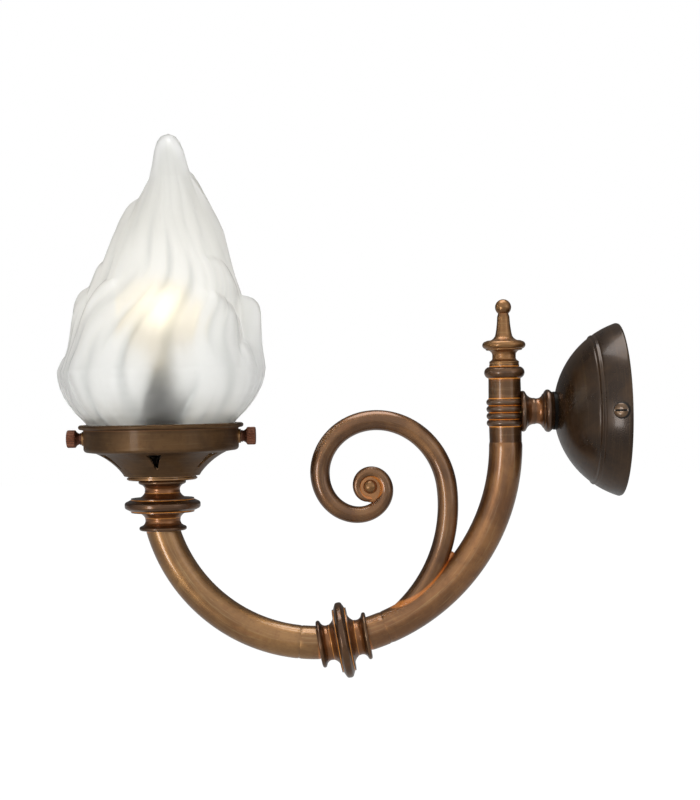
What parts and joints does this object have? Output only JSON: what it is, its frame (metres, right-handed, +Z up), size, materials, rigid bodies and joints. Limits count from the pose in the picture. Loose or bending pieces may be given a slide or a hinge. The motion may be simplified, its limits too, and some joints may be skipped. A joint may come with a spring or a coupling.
{
  "type": "torch sconce",
  "caption": "Wall light with a flame-shaped frosted glass shade in a spun gallery, a bent tube arm with a knop and a scroll, a reeded post with a finial and a domed rose.",
  "frame": {"origin": "centre of the rose and of its bracket, on the wall", "axes": "+X into the wall, +Z up, the light stands out along -X with its whole arm in the plane Y = 0"},
  "size_m": [0.3192, 0.1162, 0.3125],
  "materials": {
    "antique_brass": "aged and lacquered, orange in the recesses",
    "rose_brass": "dark, glossy, spun",
    "thumb_brass": "reddish brown, knurled",
    "inner_brass": "plain turned",
    "dark_washer": "matt black",
    "zinc_steel": "zinc plated",
    "holder_black": "moulded",
    "insert_cream": "moulded ceramic-like insert",
    "frosted_glass": "acid-frosted, moulded flame",
    "bulb_glow": "lit opal glass",
    "block_white": "moulded",
    "flex_sheath": "flexible sheath"
  },
  "bodies": {
    "light": {"wall_bracket": "zinc_steel", "backplate": "rose_brass", "side_screws": "thumb_brass", "terminal_block": "block_white", "terminal_screws": "inner_brass", "earth_screw": "inner_brass", "neck_nipple": "inner_brass", "nipple_nut": "inner_brass", "nut_washer": "zinc_steel", "cable_bush": "dark_washer", "neck_washer": "dark_washer", "neck_spool": "antique_brass", "post_head": "antique_brass", "finial": "antique_brass", "right_arm": "antique_brass", "scroll": "antique_brass", "knop": "antique_brass", "left_arm": "antique_brass", "collar": "antique_brass", "seat_washer": "antique_brass", "gallery": "antique_brass", "screw_bosses": "antique_brass", "holder_nipple": "inner_brass", "holder_nut": "inner_brass", "lampholder": "holder_black", "holder_insert": "insert_cream", "bulb_cap": "inner_brass", "bulb_glass": "bulb_glow", "bulb_stem": "bulb_glow", "arm_flex": "flex_sheath"},
    "shade": {"flame_shade": "frosted_glass"},
    "left_washer": {"left_thumb_washer": "thumb_brass"},
    "left_screw": {"left_thumb_screw": "thumb_brass"},
    "right_washer": {"right_thumb_washer": "thumb_brass"},
    "right_screw": {"right_thumb_screw": "thumb_brass"}
  },
  "joints": [
    {"name": "shade_lift", "type": "slide", "parent": "light", "child": "shade", "axis": [0, 0, 1], "range_m": [0, 0.2]},
    {"name": "left_screw_travel", "type": "slide", "parent": "light", "child": "left_washer", "axis": [-1, 0, 0], "range_m": [0, 0.00264]},
    {"name": "left_screw_turn", "type": "hinge", "parent": "left_washer", "child": "left_screw", "pos_m": [-0.26107, 0, -0.011], "axis": [-1, 0, 0], "range_deg": [0, 1440]},
    {"name": "right_screw_travel", "type": "slide", "parent": "light", "child": "right_washer", "axis": [1, 0, 0], "range_m": [0, 0.00264]},
    {"name": "right_screw_turn", "type": "hinge", "parent": "right_washer", "child": "right_screw", "pos_m": [-0.26107, 0, -0.011], "axis": [1, 0, 0], "range_deg": [0, 1440]}
  ],
  "couplings": [
    {"joint": "left_screw_turn", "follows": "left_screw_travel", "rad_per_m": 9520},
    {"joint": "right_screw_turn", "follows": "right_screw_travel", "rad_per_m": 9520}
  ]
}
